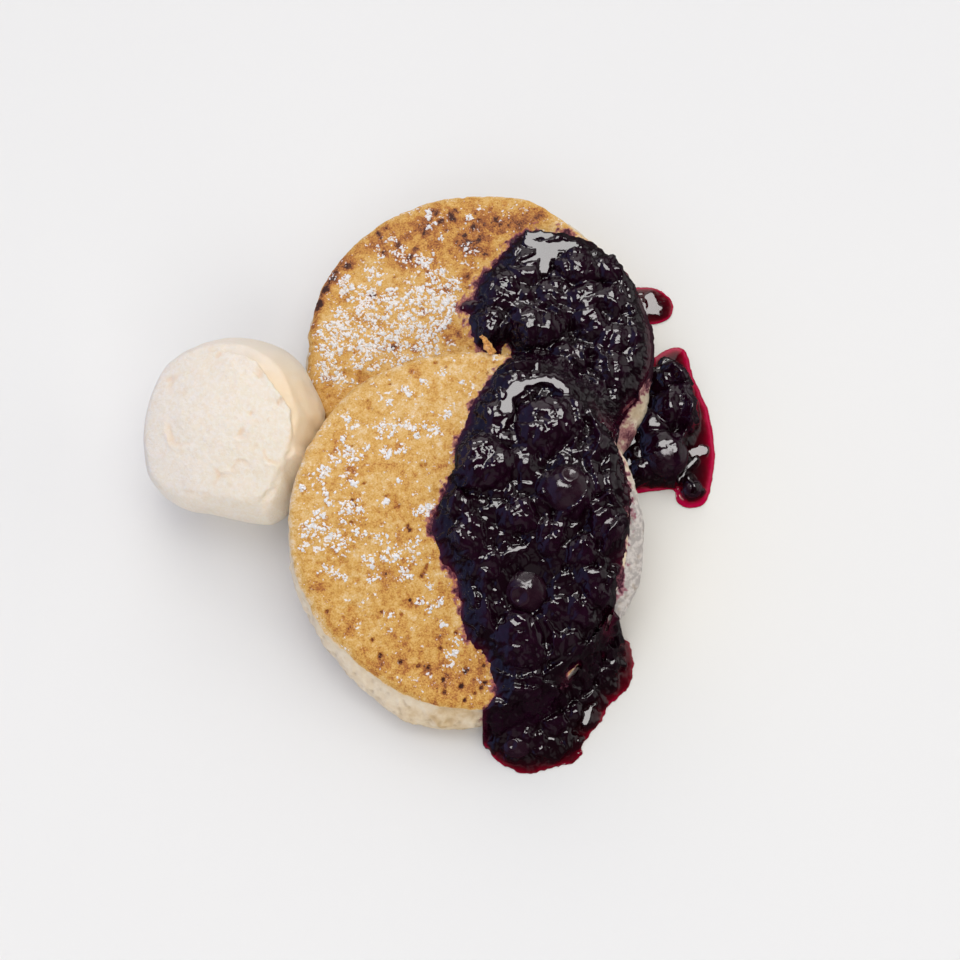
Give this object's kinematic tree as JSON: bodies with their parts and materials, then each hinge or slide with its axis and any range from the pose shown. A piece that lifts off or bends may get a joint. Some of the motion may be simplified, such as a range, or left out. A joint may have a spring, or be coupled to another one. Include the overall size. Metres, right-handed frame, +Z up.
{
  "type": "crumpet",
  "caption": "Griddled crumpets, one leaning over the other, under a dark berry compote that runs into pools, with a scoop of ice cream.",
  "frame": {"origin": "centre of the serving's bounding box, on the surface it rests on", "axes": "+Z up; -Y is the near side, where the front crumpet meets the surface; the compote is on the +X side and the ice cream on the -X side"},
  "size_m": [0.1638, 0.1722, 0.0526],
  "materials": {
    "crumpet": "matt, tan, griddled, with paler sides",
    "compote": "wet, glossy, nearly black purple",
    "berry": "wet dark blue-purple skin",
    "ice_cream": "soft cream, rough where scooped"
  },
  "bodies": {
    "root": {"crumpet_back": "crumpet", "crumpet_front": "crumpet", "compote": "compote", "compote_right": "compote", "syrup_drop": "compote", "ice_cream_scoop": "ice_cream", "berry_1": "berry", "berry_2": "berry", "berry_3": "berry", "berry_4": "berry", "berry_5": "berry", "berry_6": "berry", "berry_7": "berry", "berry_8": "berry", "berry_9": "berry", "berry_10": "berry", "berry_11": "berry", "berry_12": "berry", "berry_13": "berry", "berry_14": "berry"}
  },
  "joints": []
}
